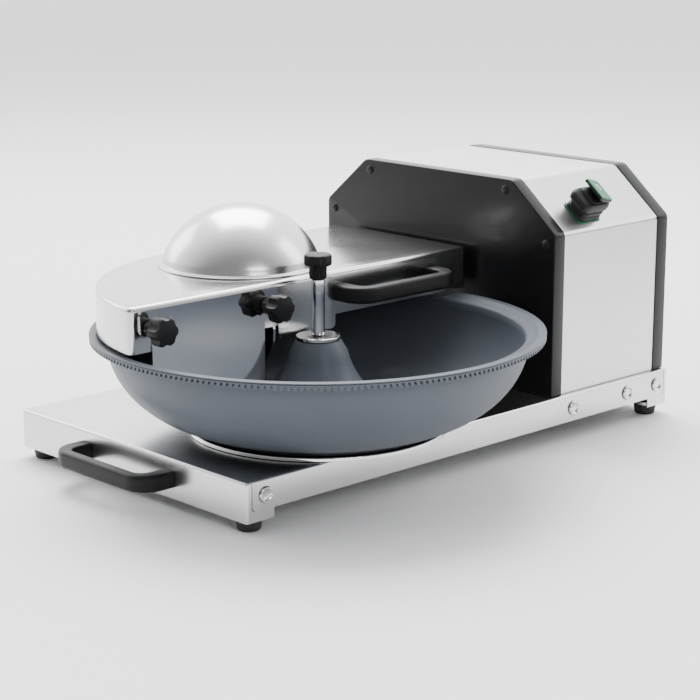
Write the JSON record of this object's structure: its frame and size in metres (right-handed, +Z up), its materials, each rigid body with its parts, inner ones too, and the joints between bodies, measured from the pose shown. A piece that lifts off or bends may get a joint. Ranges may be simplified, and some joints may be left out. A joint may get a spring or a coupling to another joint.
{
  "type": "meat bowl cutter",
  "caption": "Bench meat bowl cutter with a turning bowl, sickle knives under a hinged domed lid, and a motor housing with a switch.",
  "frame": {"origin": "centre of the bounding box, on the floor that the feet stand on", "axes": "+X along the base from its free end to the motor housing, +Y from the operator's side to the back, +Z up"},
  "size_m": [0.6894, 0.4919, 0.282],
  "materials": {
    "satin_steel": "satin polished stainless sheet",
    "mirror_steel": "mirror polished stainless",
    "bright_steel": "turned and polished steel",
    "bowl_grey": "dark grey hard coat, satin",
    "black_coat": "black gloss coat",
    "black_plastic": "black moulded plastic",
    "rubber": "matt",
    "switch_green": "translucent green plastic",
    "cast_alloy": "as cast",
    "laminations": "stacked steel laminations",
    "brass": "machined"
  },
  "bodies": {
    "base": {"base_handle": "black_plastic", "base_pan": "satin_steel", "bowl_bearing_cup": "cast_alloy", "bowl_gearmotor": "cast_alloy", "cable_gland": "black_plastic", "cross_rail_1": "satin_steel", "cross_rail_2": "satin_steel", "foot_free_far": "rubber", "foot_free_near": "rubber", "foot_motor_far": "rubber", "foot_motor_near": "rubber", "hinge_rod": "bright_steel", "housing_front_plate": "black_coat", "housing_rear_plate": "black_coat", "housing_wrap": "satin_steel", "motor_body": "cast_alloy", "motor_front_bearing": "bright_steel", "motor_front_bell": "cast_alloy", "motor_rear_bearing": "bright_steel", "motor_rear_bell": "cast_alloy", "pinion_bush": "brass", "post_bearing_lower": "bright_steel", "post_bearing_upper": "bright_steel", "run_capacitor": "cast_alloy", "shaft_seal": "rubber", "side_screw_far_1": "bright_steel", "side_screw_far_2": "bright_steel", "side_screw_far_3": "bright_steel", "side_screw_far_4": "bright_steel", "side_screw_near_1": "bright_steel", "side_screw_near_2": "bright_steel", "side_screw_near_3": "bright_steel", "side_screw_near_4": "bright_steel", "switch_body": "black_plastic"},
    "bowl": {"bowl": "bowl_grey", "bowl_tooth_ring": "bowl_grey", "bowl_turntable": "mirror_steel", "bowl_post": "bright_steel", "clamp_disc": "bright_steel", "spindle_rod": "mirror_steel"},
    "top_knob": {"top_knob": "black_plastic"},
    "bowl_drive": {"drive_pinion": "brass", "pinion_shaft": "bright_steel"},
    "knives": {"knife_shaft": "bright_steel", "motor_rotor": "laminations", "cooling_fan": "black_plastic", "knife_1": "mirror_steel", "knife_2": "mirror_steel", "knife_spacer": "bright_steel", "knife_nut": "bright_steel"},
    "lid": {"lid_cover": "satin_steel", "lid_dome": "mirror_steel", "lid_handle": "black_plastic", "hinge_barrel_free": "bright_steel", "hinge_barrel_motor": "bright_steel", "deflector_plate": "mirror_steel"},
    "star_knob_free": {"star_knob_free": "black_plastic"},
    "star_knob_inner": {"star_knob_inner": "black_plastic"},
    "switch_rocker": {"switch_rocker": "switch_green"}
  },
  "joints": [
    {"name": "bowl_spin", "type": "hinge", "parent": "base", "child": "bowl", "pos_m": [-0.11565, -0.01695, 0.052], "axis": [0, 0, 1], "continuous": true},
    {"name": "top_knob_turn", "type": "hinge", "parent": "bowl", "child": "top_knob", "pos_m": [-0.11565, -0.01695, 0.2174], "axis": [0, 0, 1], "continuous": true},
    {"name": "pinion_spin", "type": "hinge", "parent": "base", "child": "bowl_drive", "pos_m": [0.10695, -0.01695, 0.13022], "axis": [1, 0, 0], "continuous": true},
    {"name": "knife_spin", "type": "hinge", "parent": "base", "child": "knives", "pos_m": [-0.11515, 0.10005, 0.164], "axis": [1, 0, 0], "continuous": true},
    {"name": "lid_hinge", "type": "hinge", "parent": "base", "child": "lid", "pos_m": [-0.11565, 0.21405, 0.177], "axis": [-1, 0, 0], "range_deg": [0, 95]},
    {"name": "star_knob_free_turn", "type": "hinge", "parent": "lid", "child": "star_knob_free", "pos_m": [-0.31365, 0.00275, 0.181], "axis": [0, 1, 0], "continuous": true},
    {"name": "star_knob_inner_turn", "type": "hinge", "parent": "lid", "child": "star_knob_inner", "pos_m": [-0.16715, 0.00275, 0.181], "axis": [0, 1, 0], "continuous": true},
    {"name": "switch_rock", "type": "hinge", "parent": "base", "child": "switch_rocker", "pos_m": [0.20235, -0.11185, 0.26682], "axis": [0, 0.7684, 0.6399], "range_deg": [-36, 0]}
  ],
  "couplings": [
    {"joint": "pinion_spin", "follows": "bowl_spin", "ratio": -12}
  ]
}
